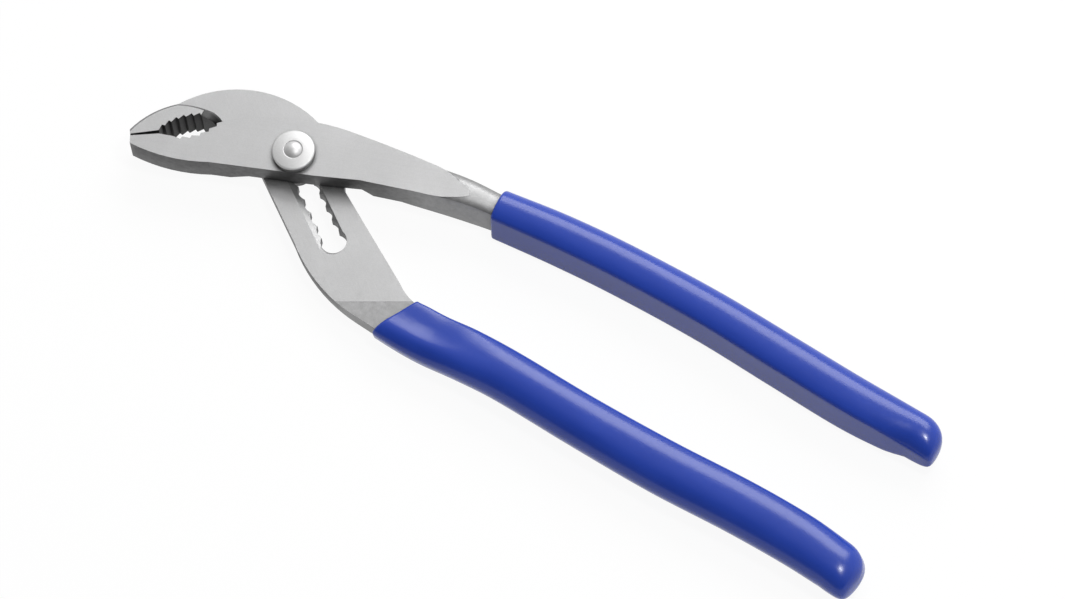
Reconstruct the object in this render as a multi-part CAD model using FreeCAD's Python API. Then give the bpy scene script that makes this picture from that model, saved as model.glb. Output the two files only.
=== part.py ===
"""Multigrip slip-joint pliers: two lapped levers, a keyed pivot bolt in a stepped slot, dipped grips.

Millimetres. The origin is on the pivot axis at the resting plane, X runs towards the handles,
Z points up through the pivot cap. The solids are drawn with the jaws closed and the pivot in
the first step of the slot.
"""
import FreeCAD, Part
import math
import os

# Stack of pieces along the pivot, from the resting plane up.
bolt_head_thickness = 1.8
washer_thickness = 0.7
running_gap = 0.1
back_plate_thickness = 4.6
front_plate_thickness = 6.5
jaw_thickness = 8.8
cap_height = 2.8

# Stepped slot and the bolt that rides in it.
slot_angle = -32.4
slot_pitch = 4.4
slot_steps = 7
scallop_radius = 3.1
shank_clearance = 0.08
mouth_depth = 1.0
mouth_half_width = 3.9
mouth_shift = 0.5
end_hole_radius = 3.7
key_clearance = 0.05
opening_angle = 46.0
stud_radius = 2.6
bolt_head_radius = 4.2
bolt_head_chamfer = 0.5
washer_radius = 4.4
cap_radius = 6.05
cap_dish = 0.5
dome_height = 1.0

# Clearance lines between the two levers, and the slopes that thicken the front lever beyond them.
slot_edge_distance = 10.1
jaw_root_distance = 11.3
jaw_root_radius = 13.7
jaw_root_slope = 5.0
shoulder_radius = 23.6
shoulder_round = 5.2
jaw_edge_bevel = 0.7
neck_root_radius = 20.5
neck_root_slope = 3.0
neck_thickness = 9.5

# Teeth.
tooth_depth = 0.75
upper_tooth_count = 6
lower_tooth_count = 5

# Handles and dipped grips. The lengths run from the first station to the last.
upper_grip_start = 57.0
upper_grip_length = 137.4
lower_grip_start = 50.6
lower_grip_length = 146.4
grip_wall = 1.6
grip_rim = 0.8
grip_tip_depth = 6.0
grip_tip_shift = 2.8
inner_lean = 0.14
ramp_slope = 7.0
crease = ((33.7, -28.6), (51.2, -17.7))

# Levels that follow from the stack.
washer_level = bolt_head_thickness + key_clearance
back_level = washer_level + washer_thickness + running_gap
lap_level = back_level + back_plate_thickness
front_level = lap_level + running_gap
face_level = front_level + front_plate_thickness
jaw_level = face_level - jaw_thickness
neck_level = face_level - neck_thickness
mouth_level = lap_level - mouth_depth
cap_level = face_level + key_clearance

# Half width of the slot between two scallops.
slot_neck = math.sqrt(scallop_radius ** 2 - (slot_pitch / 2) ** 2)

# Neck stations: x, y, z of the middle, heading, width across, height, squareness, flatness, roll.
upper_neck = [
    (25.0, 10.1, 9.4, 20.0, 8.0, 8.6, 0.60, 0.62, 0.0),
    (32.0, 12.1, 9.2, 18.0, 9.6, 9.3, 0.66, 0.62, 0.0),
    (40.0, 14.3, 8.95, 15.0, 9.6, 9.9, 0.74, 0.62, 0.0),
    (48.0, 16.1, 8.45, 11.0, 8.8, 10.8, 0.80, 0.62, 0.0),
]

# Grip stations: the same, with the share of the grip's length in place of x.
upper_grip_shape = [
    (0.000, 17.8, 7.0, 9.0, 11.2, 13.4, 0.92, 0.62, 0.0),
    (0.131, 20.2, 7.0, 6.0, 12.0, 13.6, 0.92, 0.62, 0.0),
    (0.277, 21.9, 7.0, 4.0, 12.3, 13.6, 0.92, 0.62, 0.0),
    (0.480, 22.9, 7.0, 0.0, 12.6, 13.6, 0.92, 0.62, 0.0),
    (0.662, 22.5, 7.0, -1.5, 12.9, 13.6, 0.92, 0.62, 0.0),
    (0.822, 22.1, 7.0, 0.0, 13.0, 13.6, 0.92, 0.62, 0.0),
    (0.924, 22.4, 7.0, 3.0, 12.6, 12.8, 0.92, 0.70, 0.0),
    (1.000, 22.9, 7.0, 0.0, 11.6, 11.2, 0.92, 0.90, 0.0),
]
lower_grip_shape = [
    (0.000, -24.3, 5.3, -22.8, 16.0, 8.2, 0.48, 0.70, 6.0),
    (0.078, -24.2, 5.6, -2.0, 15.3, 9.4, 0.58, 0.74, 8.0),
    (0.153, -23.3, 6.3, 4.0, 15.1, 11.6, 0.76, 0.78, 5.0),
    (0.242, -22.8, 6.9, 1.0, 14.8, 13.4, 0.92, 0.80, 1.0),
    (0.419, -23.0, 6.9, 0.0, 14.9, 13.6, 0.92, 0.80, 0.0),
    (0.597, -22.6, 6.9, 2.5, 15.5, 13.6, 0.92, 0.80, 0.0),
    (0.768, -21.2, 6.9, 2.0, 15.6, 13.6, 0.92, 0.80, 0.0),
    (0.898, -20.9, 6.9, 0.0, 15.5, 13.4, 0.92, 0.84, 0.0),
    (1.000, -21.9, 6.9, -8.0, 14.6, 13.0, 0.92, 0.92, 0.0),
]


def stations(start, length, shape):
    """Stations of a grip, spread along its length."""
    return [(start + share * length, *rest) for share, *rest in shape]


upper_grip_stations = stations(upper_grip_start, upper_grip_length, upper_grip_shape)
lower_grip_stations = stations(lower_grip_start, lower_grip_length, lower_grip_shape)


def vec(point, z=0.0):
    return FreeCAD.Vector(point[0], point[1], z)


def sketch(start, *steps):
    """Closed face on z=0. One point is a line, two an arc, more a curve through them."""
    edges = []
    here = vec(start)
    for step in steps:
        points = [vec(p) for p in step]
        if len(points) == 1:
            edges.append(Part.makeLine(here, points[0]))
        elif len(points) == 2:
            edges.append(Part.Arc(here, points[0], points[1]).toShape())
        else:
            curve = Part.BSplineCurve()
            curve.interpolate([here] + points)
            edges.append(curve.toShape())
        here = points[-1]
    return Part.Face(Part.Wire(edges))


def slab(face, low, high):
    """Solid of a flat face between two levels."""
    raised = face.copy()
    raised.translate(FreeCAD.Vector(0, 0, low))
    return raised.extrude(FreeCAD.Vector(0, 0, high - low))


def disc(radius, low, high, x=0.0, y=0.0):
    return Part.makeCylinder(radius, high - low, FreeCAD.Vector(x, y, low))


def turned(profile):
    """Solid turned about the pivot axis from (radius, level) points."""
    points = [FreeCAD.Vector(r, 0, z) for r, z in profile]
    face = Part.Face(Part.makePolygon(points + points[:1]))
    return face.revolve(FreeCAD.Vector(0, 0, 0), FreeCAD.Vector(0, 0, 1), 360)


def along_slot(distance, offset=0.0):
    """Point at a distance down the slot, offset square to it towards the slot's left edge."""
    angle = math.radians(slot_angle)
    x = distance * math.cos(angle) + offset * math.sin(angle)
    y = distance * math.sin(angle) - offset * math.cos(angle)
    return (x, y)


def toothed(start, middle, end, count):
    """Steps of a saw-toothed arc: tips on the arc, grooves behind it."""
    arc = Part.Arc(vec(start), vec(middle), vec(end)).toShape()
    centre = arc.Curve.Center
    tips = arc.discretize(count + 1)
    steps = []
    for here, following in zip(tips[:-1], tips[1:]):
        foot = here + (following - here) * 0.22
        foot += (foot - centre).normalize() * tooth_depth
        steps.append(((foot.x, foot.y),))
        steps.append(((following.x, following.y),))
    return steps


def moved(station, ahead=0.0, aside=0.0, grow=0.0, scale=1.0):
    """Station moved along and across its heading, with its section scaled and then enlarged."""
    x, y, z, heading, width, height, *form = station
    angle = math.radians(heading)
    x += ahead * math.cos(angle) - aside * math.sin(angle)
    y += ahead * math.sin(angle) + aside * math.cos(angle)
    return (x, y, z, heading, width * scale + grow, height * scale + grow, *form)


def section(station, side):
    """Handle section: a rounded bar with a flatter inner side that leans slightly."""
    x, y, z, heading, width, height, square, flat, roll = station
    reach = width / (1 + flat)
    limit = math.pi - math.acos(flat ** (1 / square))
    across = FreeCAD.Vector(-math.sin(math.radians(heading)), math.cos(math.radians(heading)), 0) * side
    tilt = math.radians(roll)
    points = []
    for i in range(13):
        turn = limit * (i / 6 - 1)
        u = math.copysign(abs(math.cos(turn)) ** square, math.cos(turn)) * reach
        v = math.copysign(abs(math.sin(turn)) ** square, math.sin(turn)) * height / 2
        u += width / 2 - reach + inner_lean * v
        rolled = (u * math.cos(tilt) - v * math.sin(tilt), u * math.sin(tilt) + v * math.cos(tilt))
        points.append(FreeCAD.Vector(x, y, z + rolled[1]) + across * rolled[0])
    curve = Part.BSplineCurve()
    curve.interpolate(points)
    return Part.Wire([curve.toShape(), Part.makeLine(points[-1], points[0])])


def bar(places, side):
    return Part.makeLoft([section(place, side) for place in places], True, False)


def grip_body(places, side):
    """Outside of a dipped grip: a rounded rim, the long body and a domed tip that leans to one side."""
    rim = moved(places[0], ahead=-grip_rim, grow=-grip_rim)
    tip = [places[-1]]
    for turn in (20, 38, 54, 68, 79, 86):
        rise, fall = math.sin(math.radians(turn)), math.cos(math.radians(turn))
        tip.append(moved(places[-1], grip_tip_depth * rise, -grip_tip_shift * (1 - fall), 0.0, fall ** 0.62))
    return bar([rim, places[0]], side).fuse([bar(places, side), bar(tip, side)])


def thinned(places):
    """Stations of the steel under the dip, which ends short of the domed tip."""
    return [moved(place, grow=-2 * grip_wall) for place in places[:-1]]


def key_profile(clearance, low, high):
    """Double-D of the bolt shank, its flats in line with the slot at the full opening."""
    radius = scallop_radius - shank_clearance + clearance
    flat = slot_neck - shank_clearance + clearance
    block = Part.makeBox(2 * radius, 2 * flat, high - low, FreeCAD.Vector(-radius, -flat, low))
    block.rotate(FreeCAD.Vector(0, 0, 0), FreeCAD.Vector(0, 0, 1), slot_angle - opening_angle)
    return disc(radius, low, high).common(block)


def slot_loop(half, shift, level):
    """Loop round the whole row of bolt positions, moved sideways, at a level."""
    travel = slot_pitch * (slot_steps - 1)
    loop = sketch(
        along_slot(0, shift + half),
        [along_slot(travel, shift + half)],
        [along_slot(travel + half, shift), along_slot(travel, shift - half)],
        [along_slot(0, shift - half)],
        [along_slot(-half, shift), along_slot(0, shift + half)],
    ).OuterWire
    loop.translate(FreeCAD.Vector(0, 0, level))
    return loop


def stepped_slot():
    """Row of scallops, one for each bolt position, with a mouth that slopes in from straight edges."""
    places = [along_slot(slot_pitch * i) for i in range(slot_steps)]
    steps = [disc(scallop_radius, 0, face_level, *place) for place in places]
    steps.append(disc(end_hole_radius, 0, face_level, *places[-1]))
    loops = [slot_loop(slot_neck, 0.0, mouth_level), slot_loop(mouth_half_width, mouth_shift, lap_level)]
    return Part.makeLoft(loops, True, True).multiFuse(steps)


def lower_jaw_outline():
    """Plan of the front lever: lower jaw, lap plate and the point where it runs into the neck."""
    teeth = toothed((-23.4, -3.9), (-27.2, -10.6), (-31.6, -13.6), lower_tooth_count)
    return sketch(
        (-41.9, -19.75),
        [(-40.7, -21.7)],
        [(-30.2, -19.9), (-18.7, -14.9)],
        [(8.6, -2.8)],
        [(20.4, 2.9)],
        [(36.6, 8.6)],
        [(44.0, 11.6), (49.0, 15.2)],
        [(44.0, 17.3), (37.0, 18.0)],
        [(24.0, 16.2), (13.0, 14.3)],
        [(-6.3, 8.3), (-21.7, -2.0)],
        [(-23.4, -3.9)],
        *teeth,
        [(-35.5, -15.1)],
        [(-41.9, -19.75)],
    )


def upper_jaw_outline():
    """Plan of the raised upper jaw."""
    teeth = toothed((-28.4, -4.2), (-33.2, -8.4), (-36.0, -14.2), upper_tooth_count)
    return sketch(
        (-42.2, -19.35),
        [(-43.2, -18.1)],
        [(-40.4, -10.2), (-36.1, -4.6)],
        [(-30.2, -2.2), (-22.0, -1.4)],
        [(-22.0, -3.4)],
        [(-28.4, -4.2)],
        *teeth,
        [(-42.2, -19.35)],
    )


def back_plate_outline():
    """Plan of the low back lever: hump behind the upper jaw, slotted plate and handle root."""
    edge_top = along_slot(-18.2, slot_edge_distance)
    edge_bottom = along_slot(22.0, slot_edge_distance)
    return sketch(
        edge_bottom,
        [(26.0, -27.2), (40.0, -30.0)],
        [(49.0, -30.4)],
        [(54.0, -17.9)],
        [(49.5, -17.2), (45.5, -15.2)],
        [(16.1, 0.2)],
        [(9.6, 7.6), (-1.5, 13.3)],
        [(-20.6, 12.6), (-38.0, -2.6)],
        [(-39.8, -9.2)],
        [(-36.5, -7.4)],
        [(-30.5, -3.6)],
        [(-24.5, -2.9)],
        [edge_top],
        [edge_bottom],
    )


def root_cut(radius, slope, level):
    """Clears the lap side round the pivot, then slopes out to the full thickness at a level."""
    return turned([(0, 0), (radius + slope, 0), (radius + slope, level), (radius, front_level),
                   (radius, face_level), (0, face_level)])


def front_lever():
    outline = lower_jaw_outline()
    far = outline.BoundBox.DiagonalLength
    plate = slab(outline, front_level, face_level)
    corners = [along_slot(d, o) for d in (-far, far) for o in (jaw_root_distance, far)]
    jaw_side = sketch(corners[0], [corners[1]], [corners[3]], [corners[2]], [corners[0]])
    jaw = slab(outline, jaw_level, front_level).common(slab(jaw_side, 0, face_level))
    jaw = jaw.cut(root_cut(jaw_root_radius, jaw_root_slope, jaw_level))
    neck_side = sketch((0, -far), [(far, -far)], [(far, far)], [(0, far)], [(0, -far)])
    neck = slab(outline, neck_level, front_level).common(slab(neck_side, 0, face_level))
    neck = neck.cut(root_cut(neck_root_radius, neck_root_slope, neck_level))
    handle = bar(upper_neck + thinned(upper_grip_stations), 1)
    handle = handle.cut(slab(neck_side, face_level, far))
    lever = plate.fuse([jaw, neck, handle]).removeSplitter()
    return lever.cut(key_profile(key_clearance, 0, cap_level))


def rounded_shoulder(far):
    """Keeps the upper jaw outside the sweep of the front plate, rounded over at the top."""
    arc = [(shoulder_radius + shoulder_round * (1 - math.cos(math.radians(t))),
            face_level - shoulder_round * (1 - math.sin(math.radians(t)))) for t in range(0, 91, 15)]
    return turned([(shoulder_radius, 0.0)] + arc + [(far, face_level), (far, 0.0)])


def bevelled(jaw):
    """Bevel along the outer back edge of the upper jaw's face."""
    backs = ((-40.4, -10.2), (-30.2, -2.2))
    edges = []
    for edge in jaw.Edges:
        middle = edge.valueAt((edge.FirstParameter + edge.LastParameter) / 2)
        on_top = edge.BoundBox.ZMin > face_level - 0.01
        if on_top and any(Part.Vertex(vec(b, face_level)).distToShape(edge)[0] < 0.6 for b in backs):
            edges.append(edge)
    return jaw.makeChamfer(jaw_edge_bevel, edges)


def handle_ramp(outline):
    """Root of the handle, whose top climbs from a crease across the lever."""
    start, finish = FreeCAD.Vector(*crease[0], 0), FreeCAD.Vector(*crease[1], 0)
    along = (finish - start).normalize()
    square = FreeCAD.Vector(along.y, -along.x, 0)
    run = outline.BoundBox.DiagonalLength
    climb = run * math.tan(math.radians(ramp_slope))
    corners = [(0, back_level), (0, lap_level), (run, lap_level + climb), (run, back_level)]
    first = start - along * run
    points = [first + square * t + FreeCAD.Vector(0, 0, z) for t, z in corners]
    wedge = Part.Face(Part.makePolygon(points + points[:1])).extrude(along * (2 * run))
    return slab(outline, back_level, face_level).common(wedge)


def back_lever():
    outline = back_plate_outline()
    shoulder = rounded_shoulder(outline.BoundBox.DiagonalLength)
    jaw = bevelled(slab(upper_jaw_outline(), back_level, face_level).common(shoulder))
    plate = slab(outline, back_level, lap_level)
    handle = bar(thinned(lower_grip_stations), -1)
    lever = plate.fuse([jaw, handle_ramp(outline), handle])
    return lever.cut(stepped_slot())


def pivot_bolt():
    """Rear head, keyed shank up through both levers, stud and domed end."""
    head = turned([(0, 0), (bolt_head_radius - bolt_head_chamfer, 0), (bolt_head_radius, bolt_head_chamfer),
                   (bolt_head_radius, bolt_head_thickness), (0, bolt_head_thickness)])
    shank = key_profile(0.0, bolt_head_thickness, face_level)
    dome_base = cap_level + cap_height - cap_dish
    stud = disc(stud_radius, face_level, dome_base)
    dome_radius = (stud_radius ** 2 + dome_height ** 2) / (2 * dome_height)
    ball = Part.makeSphere(dome_radius, FreeCAD.Vector(0, 0, dome_base + dome_height - dome_radius))
    dome = ball.common(disc(stud_radius, dome_base, dome_base + dome_height))
    return head.fuse([shank, stud, dome]).removeSplitter()


def pivot_cap():
    top = cap_level + cap_height
    rim = cap_radius - 0.5
    return turned([(stud_radius, cap_level), (cap_radius, cap_level), (cap_radius, top),
                   (rim, top), (stud_radius, top - cap_dish)])


def rear_washer():
    top = washer_level + washer_thickness
    return turned([(scallop_radius, washer_level), (washer_radius, washer_level),
                   (washer_radius, top), (scallop_radius, top)])


def main():
    os.makedirs("parts", exist_ok=True)
    front = front_lever()
    back = back_lever()
    shapes = {
        "front_lever": front,
        "back_lever": back,
        "pivot_bolt": pivot_bolt(),
        "pivot_cap": pivot_cap(),
        "rear_washer": rear_washer(),
        "upper_grip": grip_body(upper_grip_stations, 1).cut(front),
        "lower_grip": grip_body(lower_grip_stations, -1).cut(back),
    }
    for name, shape in shapes.items():
        shape.exportStep("parts/" + name + ".step")
        print(name, len(shape.Solids), shape.isValid(), round(shape.Volume, 1), shape.BoundBox)


main()
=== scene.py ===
"""Looks of the multigrip pliers: satin steel levers, a bright pivot and glossy dipped grips."""
import math
import bmesh
import bpy
from mathutils import Matrix, Vector

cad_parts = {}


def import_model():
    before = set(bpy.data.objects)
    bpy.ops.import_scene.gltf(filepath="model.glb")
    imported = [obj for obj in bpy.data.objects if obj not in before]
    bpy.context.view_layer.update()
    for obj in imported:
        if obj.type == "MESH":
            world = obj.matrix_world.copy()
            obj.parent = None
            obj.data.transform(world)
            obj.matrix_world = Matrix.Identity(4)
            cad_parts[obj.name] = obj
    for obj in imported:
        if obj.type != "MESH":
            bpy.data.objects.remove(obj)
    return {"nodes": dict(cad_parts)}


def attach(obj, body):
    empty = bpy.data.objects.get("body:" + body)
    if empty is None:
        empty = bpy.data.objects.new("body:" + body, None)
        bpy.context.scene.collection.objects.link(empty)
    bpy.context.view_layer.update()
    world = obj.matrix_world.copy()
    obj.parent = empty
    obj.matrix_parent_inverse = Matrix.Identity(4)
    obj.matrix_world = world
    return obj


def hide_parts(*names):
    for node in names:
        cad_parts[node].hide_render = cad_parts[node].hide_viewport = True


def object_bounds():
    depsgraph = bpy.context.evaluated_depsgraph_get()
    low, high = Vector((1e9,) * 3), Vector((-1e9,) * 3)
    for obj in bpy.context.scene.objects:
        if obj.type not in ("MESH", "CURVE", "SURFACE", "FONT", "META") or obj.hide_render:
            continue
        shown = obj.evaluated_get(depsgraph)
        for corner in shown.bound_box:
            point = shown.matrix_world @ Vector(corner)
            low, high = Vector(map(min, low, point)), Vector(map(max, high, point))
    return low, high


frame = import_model()
cad_low, cad_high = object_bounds()
nodes = frame["nodes"]
scene = bpy.context.scene
MM = 0.001

# Camera: a long lens, looking down on the face of the tool from the handles' open side.
VIEW_RIGHT = Vector((0.8268, 0.5564, -0.0806))
VIEW_UP = Vector((-0.4852, 0.7785, 0.3989))
VIEW_CENTRE = Vector((79.3, 0.5, 7.0)) * MM
VIEW_WIDTH = 295.0 * MM
VIEW_DISTANCE = 5.0
SENSOR_WIDTH = 36.0
CLIP_END = 100.0


def linked(name, data):
    """New object of this data, in the scene."""
    made = bpy.data.objects.new(name, data)
    scene.collection.objects.link(made)
    return made


# ---------------------------------------------------------------- materials

# Tones of the steel, from 0 for black to 1 for white.
FACE_TONE = 0.52
# Walls and slopes: darker forging skin with painted shade, each tone standing in for the light that part
# catches.
NEAR_WALL_SKIN_AND_SHADE, FAR_WALL_SKIN_AND_SHADE = 0.12, 0.27
STEEP_SKIN_AND_SHADE, GENTLE_SKIN_AND_SHADE, RAISED_SKIN_AND_SHADE = 0.38, 0.235, 0.29
# Painted shade round the teeth: the tone that darkens the opening between the jaws.
TEETH_PAINTED_SHADE = 0.24
FORGED_ROUGHNESS, FACE_ROUGHNESS = 0.52, 0.33

# Places on the steel, in m: where the painted shade on the walls grows paler, where the painted tone of
# the raised steel begins, and the middle of the painted shade round the teeth, with the turn of its long
# axis.
WALL_START, WALL_END = 0.026, 0.038
RAISED_START, RAISED_END = 0.0105, 0.0128
TEETH_MIDDLE = Vector((-0.0293, -0.0079, 0.0))
TEETH_TURN = math.radians(42)

CAP_TONE = 0.55
# Painted shade: the share of the pivot's tone left on its walls.
FITTING_WALL_PAINTED_SHADE = 0.22
VINYL_DARK = (0.0125, 0.041, 0.305, 1.0)
VINYL_PALE = (0.015, 0.046, 0.33, 1.0)
VINYL_SKIN = 0.012
FLOOR_TONE = 0.86
FLOOR_GLOW = 0.93


class Tree:
    """Short way to write a node tree."""

    def __init__(self, tree):
        self.tree = tree
        self.tree.nodes.clear()

    def node(self, kind, inputs=None, **settings):
        made = self.tree.nodes.new(kind)
        for key, value in settings.items():
            setattr(made, key, value)
        for key, value in (inputs or {}).items():
            self.put(made.inputs[key], value)
        return made

    def put(self, socket, value):
        if isinstance(value, bpy.types.NodeSocket):
            self.tree.links.new(value, socket)
        else:
            socket.default_value = value

    def place(self):
        return self.node("ShaderNodeTexCoord").outputs["Object"]

    def parts(self, vector):
        return self.node("ShaderNodeSeparateXYZ", {0: vector}).outputs

    def upward(self):
        """Z of the surface's normal: 1 where it faces up, 0 on a wall, -1 underneath."""
        return self.parts(self.node("ShaderNodeNewGeometry").outputs["Normal"])["Z"]

    def math(self, operation, a, b=0.0):
        return self.node("ShaderNodeMath", {0: a, 1: b}, operation=operation).outputs[0]

    def ramp(self, value, low, high, out_low=0.0, out_high=1.0):
        made = self.node("ShaderNodeMapRange", {"Value": value, "From Min": low, "From Max": high,
                                                "To Min": out_low, "To Max": out_high})
        return made.outputs["Result"]

    def spread(self, noise, low, high):
        """Noise, which lies mostly between 0.3 and 0.7, taken to between low and high."""
        return self.ramp(noise, 0.3, 0.7, low, high)

    def noise(self, vector, scale, detail=2.0, roughness=0.5):
        made = self.node("ShaderNodeTexNoise", {"Vector": vector, "Scale": scale, "Detail": detail,
                                                "Roughness": roughness})
        return made.outputs["Fac"]

    def stretched(self, vector, scale, turn=0.0):
        """Vector turned about Z, then stretched: what varies slowly runs along the turned X."""
        turned = self.node("ShaderNodeMapping", {"Vector": vector, "Rotation": (0.0, 0.0, -turn)})
        made = self.node("ShaderNodeMapping", {"Vector": turned.outputs["Vector"], "Scale": scale})
        return made.outputs["Vector"]

    def bump(self, height, distance, strength=1.0, normal=None):
        made = self.node("ShaderNodeBump", {"Height": height, "Distance": distance, "Strength": strength})
        if normal is not None:
            self.put(made.inputs["Normal"], normal)
        return made.outputs["Normal"]

    def painted_crevice_shade(self, reach, low):
        """Painted shade where surfaces meet closely: 1 in the open, low in a deep corner."""
        shade = self.node("ShaderNodeAmbientOcclusion", {"Distance": reach}, samples=8)
        return self.ramp(shade.outputs["AO"], 0.25, 0.9, low, 1.0)

    def finish(self, shader):
        self.node("ShaderNodeOutputMaterial", {"Surface": shader.outputs[0]})


def grey(value):
    return (value, value, value, 1.0)


def material(name):
    made = bpy.data.materials.new(name)
    made.use_nodes = True
    return made, Tree(made.node_tree)


def painted_teeth_shade(t, place):
    """Painted shade in an ellipse round the teeth, for the shadowed opening between the jaws: the teeth's
    shade tone inside, 1 outside.
    """
    moved = t.node("ShaderNodeMapping", {"Vector": place, "Location": -TEETH_MIDDLE}).outputs["Vector"]
    across = t.stretched(moved, (114.0, 210.0, 0.0), TEETH_TURN)
    distance = t.node("ShaderNodeVectorMath", {0: across}, operation="LENGTH").outputs["Value"]
    return t.ramp(distance, 0.85, 1.15, TEETH_PAINTED_SHADE, 1.0)


def steel(name, grain_turn):
    """Ground satin faces with a fine lengthwise grain, and darker walls of forging skin; painted shade
    sets the tones of walls and slopes by steepness, height and place, and darkens corners and the teeth.
    """
    made, t = material(name)
    place = t.place()
    levels = t.math("ABSOLUTE", t.upward())
    ground = t.ramp(levels, 0.9935, 0.9985)
    grain = t.noise(t.stretched(place, (90.0, 5200.0, 900.0), grain_turn), 1.0, 4.0, 0.6)
    speckle = t.noise(place, 3800.0, 3.0, 0.65)
    cloud = t.noise(place, 55.0, 3.0, 0.55)
    scale = t.noise(place, 620.0, 4.0, 0.6)

    face = t.math("ADD", t.spread(cloud, -0.02, 0.02), t.spread(speckle, -0.03, 0.03))
    face = t.math("ADD", t.math("ADD", face, t.spread(grain, -0.012, 0.012)), FACE_TONE)
    # Painted shade where the faces meet other steel.
    face = t.math("MULTIPLY", face, t.painted_crevice_shade(0.0016, 0.35))

    # Painted shade: walls and slopes take tones by steepness, height and place along X, over the darker
    # forging skin.
    spot = t.parts(place)
    slant = t.ramp(levels, 0.965, 0.99, STEEP_SKIN_AND_SHADE, GENTLE_SKIN_AND_SHADE)
    slant = t.ramp(spot["Z"], RAISED_START, RAISED_END, slant, RAISED_SKIN_AND_SHADE)
    wall = t.ramp(spot["X"], WALL_START, WALL_END, NEAR_WALL_SKIN_AND_SHADE, FAR_WALL_SKIN_AND_SHADE)
    forged_skin_and_shade = t.node("ShaderNodeMix", {0: t.ramp(levels, 0.35, 0.97), 2: wall, 3: slant}).outputs[0]
    forged_skin_and_shade = t.math("ADD", forged_skin_and_shade, t.spread(scale, -0.02, 0.03))
    # Painted shade in corners.
    forged_skin_and_shade = t.math("MULTIPLY", forged_skin_and_shade, t.painted_crevice_shade(0.0022, 0.45))
    # Painted shade in the opening between the jaws, round the teeth.
    forged_skin_and_shade = t.math("MULTIPLY", forged_skin_and_shade, painted_teeth_shade(t, place))

    tone = t.math("ADD", t.math("MULTIPLY", ground, face),
                  t.math("MULTIPLY", t.math("SUBTRACT", 1.0, ground), forged_skin_and_shade))
    colour = t.node("ShaderNodeCombineColor", {0: tone, 1: tone, 2: t.math("MULTIPLY", tone, 1.005)})
    rough = t.math("ADD", t.ramp(ground, 0.0, 1.0, FORGED_ROUGHNESS, FACE_ROUGHNESS),
                   t.spread(speckle, -0.05, 0.05))
    relief = t.math("ADD", t.math("MULTIPLY", grain, 0.6), t.math("MULTIPLY", speckle, 0.5))
    fine = t.bump(relief, 0.000012)
    rugged = t.bump(scale, 0.00006, 0.5, fine)
    normal = t.node("ShaderNodeMix", data_type="VECTOR")
    for socket, value in ((0, ground), (4, rugged), (5, fine)):
        t.put(normal.inputs[socket], value)
    t.finish(t.node("ShaderNodeBsdfPrincipled", {"Base Color": colour.outputs[0], "Roughness": rough,
                                                 "Metallic": 1.0, "Normal": normal.outputs[1]}))
    return made


def bright_metal(name):
    """Plated pivot: pale, with turned rings and a soft gloss; its walls are darkened by painted shade."""
    made, t = material(name)
    place = t.place()
    spot = t.parts(place)
    squares = [t.math("MULTIPLY", spot[k], spot[k]) for k in (0, 1)]
    radius = t.math("SQRT", t.math("ADD", *squares))
    across = t.node("ShaderNodeCombineXYZ", {0: t.math("MULTIPLY", radius, 9000.0)}).outputs[0]
    rings = t.noise(across, 1.0)
    speckle = t.noise(place, 2600.0, 3.0, 0.6)
    tone = t.math("ADD", t.spread(speckle, -0.03, 0.03), CAP_TONE)
    # Painted shade: walls darker than the tops.
    tone = t.math("MULTIPLY", tone, t.ramp(t.upward(), 0.1, 0.6, FITTING_WALL_PAINTED_SHADE, 1.0))
    # Painted shade where the pivot meets the levers.
    tone = t.math("MULTIPLY", tone, t.painted_crevice_shade(0.002, 0.45))
    colour = t.node("ShaderNodeCombineColor", {0: tone, 1: tone, 2: tone}).outputs[0]
    normal = t.bump(t.math("ADD", rings, speckle), 0.000008)
    t.finish(t.node("ShaderNodeBsdfPrincipled", {"Base Color": colour, "Metallic": 0.6, "Normal": normal,
                                                 "Roughness": t.spread(speckle, 0.42, 0.52)}))
    return made


def vinyl(name):
    """Dipped plastic: deep blue gloss with a faint run of ripples."""
    made, t = material(name)
    place = t.place()
    ripple = t.noise(t.stretched(place, (60.0, 160.0, 160.0)), 1.0)
    skin = t.noise(place, 900.0, 3.0)
    colour = t.node("ShaderNodeMix", data_type="RGBA")
    for socket, value in ((0, t.spread(ripple, 0.0, 1.0)), (6, VINYL_DARK), (7, VINYL_PALE)):
        t.put(colour.inputs[socket], value)
    normal = t.bump(t.math("ADD", ripple, t.math("MULTIPLY", skin, VINYL_SKIN)), 0.00012, 0.5)
    t.finish(t.node("ShaderNodeBsdfPrincipled", {"Base Color": colour.outputs[2], "IOR": 1.45,
                                                 "Roughness": t.spread(skin, 0.20, 0.27),
                                                 "Specular IOR Level": 0.5, "Normal": normal}))
    return made


def seen_directly(t):
    """1 for rays from the camera and for those reflected or let through."""
    path = t.node("ShaderNodeLightPath")
    seen = t.math("MAXIMUM", path.outputs["Is Camera Ray"], path.outputs["Is Glossy Ray"])
    return t.math("MAXIMUM", seen, path.outputs["Is Transmission Ray"])


def floor_material():
    """Matt white that takes the shadow, mixed with a white glow for the rays that see it."""
    made, t = material("floor_white")
    matt = t.node("ShaderNodeBsdfDiffuse", {"Color": grey(FLOOR_TONE)})
    glow = t.node("ShaderNodeEmission", {"Color": grey(1.0), "Strength": 1.0})
    share = t.math("MULTIPLY", seen_directly(t), FLOOR_GLOW)
    t.finish(t.node("ShaderNodeMixShader", {0: share, 1: matt.outputs[0], 2: glow.outputs[0]}))
    return made


# ---------------------------------------------------------------- pieces

WELD_REACH = 0.000002
LEVER_ROUND = 0.00017
FITTING_ROUND = 0.00012
SHARP_ANGLE = math.radians(38)


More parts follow.
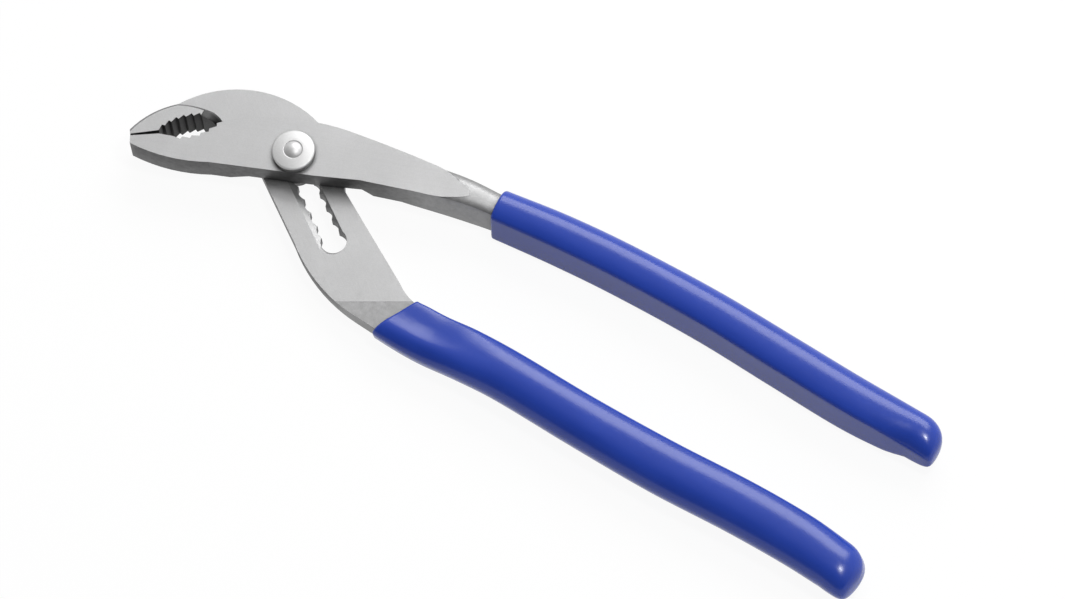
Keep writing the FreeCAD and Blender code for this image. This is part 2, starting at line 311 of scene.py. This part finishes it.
def dress(name, finish, edge_round):
    """Gives a CAD node its material and small edge rounds."""
    piece = nodes[name]
    piece.data.materials.clear()
    piece.data.materials.append(finish)
    weld = piece.modifiers.new("weld", "WELD")
    weld.merge_threshold = WELD_REACH
    edge = piece.modifiers.new("edge_rounds", "BEVEL")
    edge.width = edge_round
    edge.segments = 2
    edge.limit_method = "ANGLE"
    edge.angle_limit = SHARP_ANGLE
    edge.harden_normals = True


front_steel = steel("front_steel", math.radians(21))
back_steel = steel("back_steel", math.radians(-32))
pivot_metal = bright_metal("pivot_metal")
grip_vinyl = vinyl("grip_vinyl")
dress("front_lever", front_steel, LEVER_ROUND)
dress("back_lever", back_steel, LEVER_ROUND)
for fitting in ("pivot_bolt", "rear_washer"):
    dress(fitting, pivot_metal, FITTING_ROUND)


def skinned(name, rings, hoop, finish, node, body):
    """Smooth closed mesh through rings of points in mm, with flat ends or joined into a hoop.

    It replaces a CAD node, and rides on a body."""
    count = len(rings[0])
    if hoop:
        faces, gaps = [], len(rings)
    else:
        gaps = len(rings) - 1
        faces = [tuple(range(count)), tuple(reversed(range(gaps * count, (gaps + 1) * count)))]
    for r in range(gaps):
        for k in range(count):
            here, there = r * count, (r + 1) % len(rings) * count
            after = (k + 1) % count
            faces.append((here + k, here + after, there + after, there + k))
    mesh = bpy.data.meshes.new(name)
    mesh.from_pydata([point * MM for ring in rings for point in ring], [], faces)
    outward = bmesh.new()
    outward.from_mesh(mesh)
    bmesh.ops.recalc_face_normals(outward, faces=outward.faces)
    outward.to_mesh(mesh)
    outward.free()
    mesh.shade_smooth()
    mesh.materials.append(finish)
    made = linked(name, mesh)
    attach(made, body)
    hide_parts(node)


# Crowned disc under the peened end of the bolt, in mm: levels are above the resting plane.
CAP_BORE = 2.55
CAP_RADIUS = 6.05
CAP_FOOT = 13.9
CAP_FOOT_BEVEL = 0.15
CAP_CROWN = 16.29
CAP_FALL = 0.34
CAP_EDGE = 0.55
CAP_CURVE = 1.6
CAP_STEPS = 10
CAP_POINTS = 128
# Degrees between the rings of a rounded edge, and mm from a flat's edge to the ring that holds it flat.
ROUND_TURN = 15
LOOP_GAP = 0.1


def crowned_cap():
    """Disc whose face falls gently from the bolt to a rounded edge."""
    reach = CAP_RADIUS - CAP_EDGE
    edge_level = CAP_CROWN - CAP_FALL - CAP_EDGE
    wall_foot = CAP_FOOT + CAP_FOOT_BEVEL
    profile = [(CAP_BORE, CAP_FOOT), (CAP_BORE, CAP_CROWN - LOOP_GAP), (CAP_BORE, CAP_CROWN)]
    for k in range(1, CAP_STEPS + 1):
        share = k / CAP_STEPS
        profile.append((CAP_BORE + (reach - CAP_BORE) * share, CAP_CROWN - CAP_FALL * share ** CAP_CURVE))
    for turn in range(75, -1, -ROUND_TURN):
        angle = math.radians(turn)
        profile.append((reach + CAP_EDGE * math.cos(angle), edge_level + CAP_EDGE * math.sin(angle)))
    profile += [(CAP_RADIUS, edge_level - LOOP_GAP), (CAP_RADIUS, wall_foot + LOOP_GAP),
                (CAP_RADIUS, wall_foot), (CAP_RADIUS - CAP_FOOT_BEVEL, CAP_FOOT),
                (CAP_RADIUS - 2 * CAP_FOOT_BEVEL, CAP_FOOT), (CAP_BORE + LOOP_GAP, CAP_FOOT)]
    turns = [2 * math.pi * k / CAP_POINTS for k in range(CAP_POINTS)]
    rings = [[Vector((r * math.cos(a), r * math.sin(a), z)) for a in turns] for r, z in profile]
    skinned("pivot_cap_crown", rings, True, pivot_metal, "pivot_cap", "front_lever")


crowned_cap()


# ---------------------------------------------------------------- dipped grips

# Places along each grip, in mm: x, y, z of the middle, heading, width, height, squareness,
# flatness of the inner side, roll, height of the ridge along the outer side of the top.
UPPER_GRIP = [
    (57.0, 17.8, 7.0, 9.0, 11.2, 13.4, 0.92, 0.62, 0.0, 0.0),
    (75.0, 20.2, 7.0, 6.0, 12.0, 13.6, 0.92, 0.62, 0.0, 0.0),
    (95.0, 21.9, 7.0, 4.0, 12.3, 13.6, 0.92, 0.62, 0.0, 0.0),
    (123.0, 22.9, 7.0, 0.0, 12.6, 13.6, 0.92, 0.62, 0.0, 0.0),
    (148.0, 22.5, 7.0, -1.5, 12.9, 13.6, 0.92, 0.62, 0.0, 0.0),
    (170.0, 22.1, 7.0, 0.0, 13.0, 13.6, 0.92, 0.62, 0.0, 0.0),
    (184.0, 22.4, 7.0, 3.0, 12.6, 12.8, 0.92, 0.70, 0.0, 0.0),
    (192.0, 22.8, 7.0, 0.0, 11.9, 11.5, 0.92, 0.90, 0.0, 0.0),
]
LOWER_GRIP = [
    (50.6, -24.3, 5.3, -22.8, 15.9, 8.2, 0.48, 0.70, 0.5, 0.6),
    (62.0, -24.2, 5.6, -2.0, 15.2, 9.4, 0.58, 0.74, 1.0, 0.9),
    (73.0, -23.3, 6.3, 4.0, 15.1, 11.6, 0.76, 0.78, 2.0, 0.25),
    (86.0, -22.8, 6.9, 1.0, 14.8, 13.4, 0.92, 0.80, 1.0, 0.0),
    (112.0, -23.0, 6.9, 0.0, 14.9, 13.6, 0.92, 0.80, 0.0, 0.0),
    (138.0, -22.6, 6.9, 2.5, 15.5, 13.6, 0.92, 0.80, 0.0, 0.0),
    (163.0, -21.2, 6.9, 2.0, 15.6, 13.6, 0.92, 0.80, 0.0, 0.0),
    (182.0, -20.9, 6.9, 0.0, 15.5, 13.4, 0.92, 0.84, 0.0, 0.0),
    (194.8, -21.6, 6.9, -7.0, 14.9, 13.1, 0.92, 0.92, 0.0, 0.0),
]
RING_POINTS = 96
RING_STEP = 1.2
HALF_TURNS = 60
INNER_LEAN = 0.14
# The ridge's place and width, as shares of the grip's width.
RIDGE_PLACE = 0.24
RIDGE_WIDTH = 0.20
SOFT_PASSES = 2
# The lip's round and the dip's thickness at the mouth, and the dome at the tip, in mm.
RIM_ROUND = 0.8
SKIN = 1.7
TIP_DEPTH = 8.2
TIP_SHIFT = 3.2
TIP_TURN = 8
TIP_FULLNESS = 0.56


def slope(rows, i, column):
    """Slope of a column at a row, from the rows on either side."""
    before, after = max(i - 1, 0), min(i + 1, len(rows) - 1)
    return (rows[after][column] - rows[before][column]) / (rows[after][0] - rows[before][0])


def place_at(rows, x):
    """Row at a distance x, on a smooth curve through all the rows."""
    i = max(k for k in range(len(rows) - 1) if rows[k][0] <= x)
    step = rows[i + 1][0] - rows[i][0]
    t = (x - rows[i][0]) / step
    ease = t * t * (3 - 2 * t)
    found = [x]
    for column in range(1, len(rows[i])):
        bend = (slope(rows, i, column) * (t ** 3 - 2 * t * t + t)
                + slope(rows, i + 1, column) * (t ** 3 - t * t))
        found.append(rows[i][column] * (1 - ease) + rows[i + 1][column] * ease + step * bend)
    return found


def evenly(points, count):
    """Points spread evenly round a closed line, starting at its first point."""
    closed = points + points[:1]
    runs = [(b - a).length for a, b in zip(closed, closed[1:])]
    total = sum(runs)
    spread, i, passed = [], 0, 0.0
    for k in range(count):
        wanted = total * k / count
        while passed + runs[i] < wanted:
            passed += runs[i]
            i += 1
        spread.append(closed[i].lerp(closed[i + 1], (wanted - passed) / runs[i]))
    return spread


def softened(points, passes):
    """Closed line with its corners worn down a little by each pass."""
    for _ in range(passes):
        ring = zip(points[-1:] + points[:-1], points, points[1:] + points[:1])
        points = [(a + b * 2 + c) / 4 for a, b, c in ring]
    return points


def power(value, exponent):
    """Power of a value's size, with the value's sign."""
    return math.copysign(abs(value) ** exponent, value)


def grip_ring(row, side, inset=0.0, ahead=0.0, aside=0.0, scale=1.0):
    """Ring round the grip: a rounded bar whose inner side is flatter and leans a little."""
    x, y, z, heading, width, height, square, flat, roll, ridge = row
    width, height = width * scale - 2 * inset, height * scale - 2 * inset
    reach = width / (1 + flat)
    limit = math.pi - math.acos(flat ** (1 / square))
    along = Vector((math.cos(math.radians(heading)), math.sin(math.radians(heading)), 0))
    left = Vector((-along.y, along.x, 0))
    middle = Vector((x, y, z)) + along * ahead + left * aside
    tilt = math.radians(roll)
    half = [limit * k / HALF_TURNS for k in range(HALF_TURNS + 1)]
    turns = half + [-turn for turn in reversed(half[1:])]
    points = []
    for turn in turns:
        u = power(math.cos(turn), square) * reach
        v = power(math.sin(turn), square) * height / 2
        u += width / 2 - reach + INNER_LEAN * v
        if v > 0:
            off = (u / width - RIDGE_PLACE) / RIDGE_WIDTH
            v += ridge * (2 * v / height) ** 2 * math.exp(-off ** 2)
        sideways = u * math.cos(tilt) - v * math.sin(tilt)
        upright = u * math.sin(tilt) + v * math.cos(tilt)
        points.append(middle + left * side * sideways + Vector((0, 0, upright)))
    return softened(evenly(points, RING_POINTS), SOFT_PASSES)


def dipped_grip(name, node, body, rows, side):
    """Dipped plastic grip: rounded lip, long smooth body and domed tip."""
    first, last = rows[0], rows[-1]
    rings = [grip_ring(first, side, SKIN, -RIM_ROUND)]
    for turn in range(0, 90, ROUND_TURN):
        angle = math.radians(turn)
        rings.append(grip_ring(first, side, RIM_ROUND * (1 - math.sin(angle)),
                               -RIM_ROUND * math.cos(angle)))
    steps = round((last[0] - first[0]) / RING_STEP)
    for k in range(steps + 1):
        rings.append(grip_ring(place_at(rows, first[0] + (last[0] - first[0]) * k / steps), side))
    for turn in range(TIP_TURN, 89, TIP_TURN):
        angle = math.radians(turn)
        rings.append(grip_ring(last, side, ahead=TIP_DEPTH * math.sin(angle),
                               aside=-TIP_SHIFT * (1 - math.cos(angle)),
                               scale=math.cos(angle) ** TIP_FULLNESS))
    skinned(name, rings, False, grip_vinyl, node, body)


dipped_grip("upper_grip_dip", "upper_grip", "front_lever", UPPER_GRIP, 1)
dipped_grip("lower_grip_dip", "lower_grip", "back_lever", LOWER_GRIP, -1)


# ---------------------------------------------------------------- stage

FLOOR_REACH = 20.0
FLOOR_GAP = 0.00005


def floor():
    """White floor just under the tool, which keeps its shadow."""
    reach = FLOOR_REACH
    mesh = bpy.data.meshes.new("floor")
    mesh.from_pydata([(-reach, -reach, 0), (reach, -reach, 0), (reach, reach, 0), (-reach, reach, 0)],
                     [], [(0, 1, 2, 3)])
    mesh.materials.append(floor_material())
    made = linked("floor", mesh)
    made.location.z = cad_low.z - FLOOR_GAP


def aimed(thing, place, side, up, back):
    """Puts a lamp or the camera at a place, looking away from back."""
    turn = Matrix((side, up, back)).transposed()
    thing.matrix_world = Matrix.Translation(place) @ turn.to_4x4()


def softbox(name, place, width, height, watts, long_axis):
    """Lamp that shines at the middle of the view, with its width along an axis."""
    lamp = bpy.data.lights.new(name, "AREA")
    lamp.shape = "RECTANGLE"
    lamp.size, lamp.size_y = width, height
    lamp.energy = watts
    place = Vector(place)
    back = (place - VIEW_CENTRE).normalized()
    up = back.cross(Vector(long_axis)).normalized()
    aimed(linked(name, lamp), place, up.cross(back), up, back)


SKY_DIM = 0.12
SKY_PALE = 0.80


def world():
    """White to a little above the horizon, and a sky that is dim at -Y and pale at +Y."""
    made = bpy.data.worlds.new("studio")
    scene.world = made
    made.use_nodes = True
    t = Tree(made.node_tree)
    ray = t.parts(t.node("ShaderNodeTexCoord").outputs["Generated"])
    sky = t.ramp(ray["Y"], -0.35, 0.45, SKY_DIM, SKY_PALE)
    horizon = t.ramp(ray["Z"], 0.14, 0.36, 1.0, 0.0)
    level = t.math("ADD", t.math("MULTIPLY", horizon, t.math("SUBTRACT", 1.0, sky)), sky)
    back = t.node("ShaderNodeBackground", {"Color": grey(1.0), "Strength": level})
    t.node("ShaderNodeOutputWorld", {"Surface": back.outputs[0]})


def camera():
    """Long lens that looks at the middle of the view."""
    data = bpy.data.cameras.new("camera")
    data.sensor_width = SENSOR_WIDTH
    data.lens = SENSOR_WIDTH * VIEW_DISTANCE / VIEW_WIDTH
    data.clip_end = CLIP_END
    scene.camera = linked("camera", data)
    back = VIEW_RIGHT.cross(VIEW_UP).normalized()
    aimed(scene.camera, VIEW_CENTRE + back * VIEW_DISTANCE, VIEW_RIGHT.normalized(), VIEW_UP.normalized(),
          back)


floor()
softbox("key", (-0.07, 0.70, 0.63), 0.76, 0.54, 7.0, (1, 0, 0))
softbox("side", (0.36, 0.14, 1.00), 0.14, 0.14, 3.4, (0, 1, 0))
world()
camera()
scene.view_settings.view_transform = "Standard"
